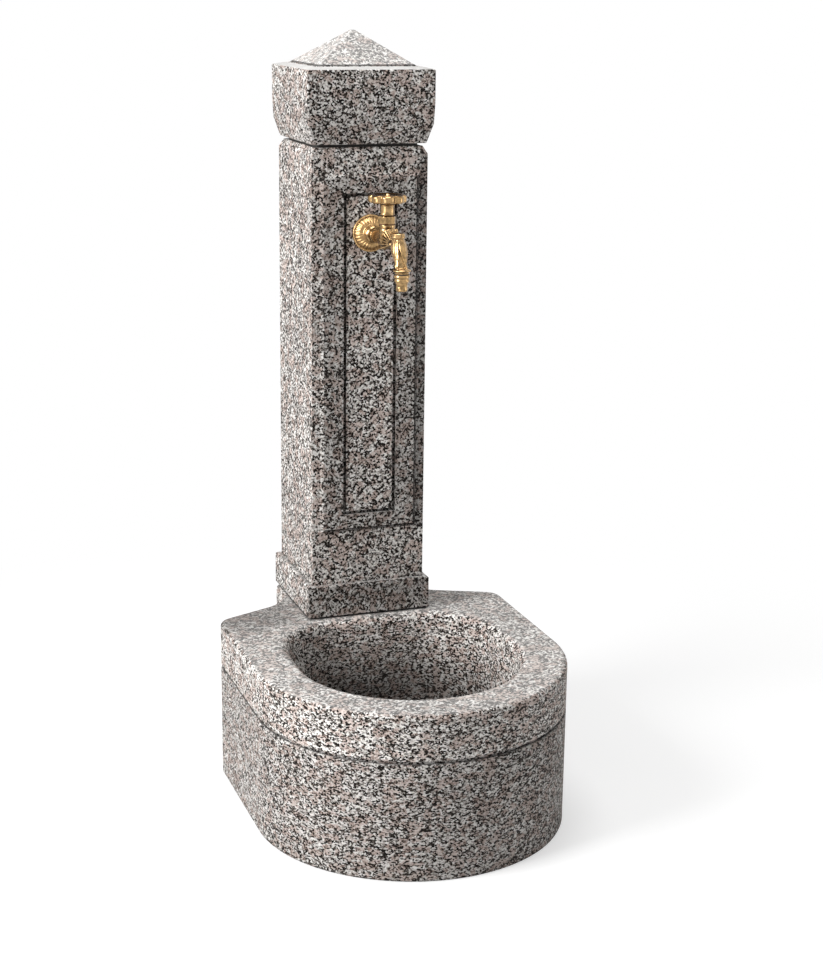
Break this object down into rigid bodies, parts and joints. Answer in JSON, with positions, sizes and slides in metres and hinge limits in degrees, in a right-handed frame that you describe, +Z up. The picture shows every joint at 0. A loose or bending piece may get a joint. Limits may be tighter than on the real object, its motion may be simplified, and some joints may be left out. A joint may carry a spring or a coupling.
{
  "type": "garden fountain",
  "caption": "Granite garden fountain: low round-fronted basin with a bowl, square column with raised panel and pyramid cap, and an ornamental brass handwheel tap over the bowl.",
  "frame": {"origin": "on the ground, under the middle of the overall bounding box", "axes": "+Z up, -Y to the front, where the tap and the round end of the basin point, +X to the right as seen from the back"},
  "size_m": [0.45, 0.6, 1.1],
  "materials": {
    "granite": "fine-picked",
    "mortar": "rough",
    "stainless_steel": "brushed",
    "plumbing_brass": "satin",
    "copper": "satin",
    "polished_brass": "polished",
    "turned_brass": "satin",
    "rubber": "matt",
    "fibre": "matt"
  },
  "bodies": {
    "fountain": {"basin": "granite", "column_bed": "mortar", "column": "granite", "cap_bed": "mortar", "cap": "granite", "column_dowels": "stainless_steel", "cap_dowel": "stainless_steel", "extension_piece": "plumbing_brass", "tap_elbow": "plumbing_brass", "riser_pipe": "copper", "inlet_adaptor": "plumbing_brass", "compression_nuts": "plumbing_brass", "olives": "plumbing_brass", "waste_body": "stainless_steel", "waste_gasket": "rubber", "waste_washer": "rubber", "waste_lock_nut": "stainless_steel", "strainer_grate": "stainless_steel", "strainer_screw": "stainless_steel", "rosette": "polished_brass", "tap_body": "polished_brass", "outlet_nozzle": "polished_brass", "nozzle_washer": "rubber", "bonnet_gasket": "fibre", "bonnet": "polished_brass", "gland_packing": "fibre", "gland_nut": "polished_brass"},
    "tap_handle": {"spindle": "turned_brass", "handwheel": "polished_brass", "handwheel_screw": "polished_brass"},
    "valve_jumper": {"jumper": "turned_brass", "jumper_washer": "rubber", "washer_screw": "stainless_steel"}
  },
  "joints": [
    {"name": "handwheel_turn", "type": "hinge", "parent": "fountain", "child": "tap_handle", "pos_m": [0, 0.041, 0.85], "axis": [0, 0, 1], "range_deg": [0, 1080]},
    {"name": "jumper_lift", "type": "slide", "parent": "fountain", "child": "valve_jumper", "axis": [0, 0, 1], "range_m": [0, 0.006]}
  ],
  "couplings": [
    {"joint": "jumper_lift", "follows": "handwheel_turn", "m_per_rad": 0.0003183}
  ]
}
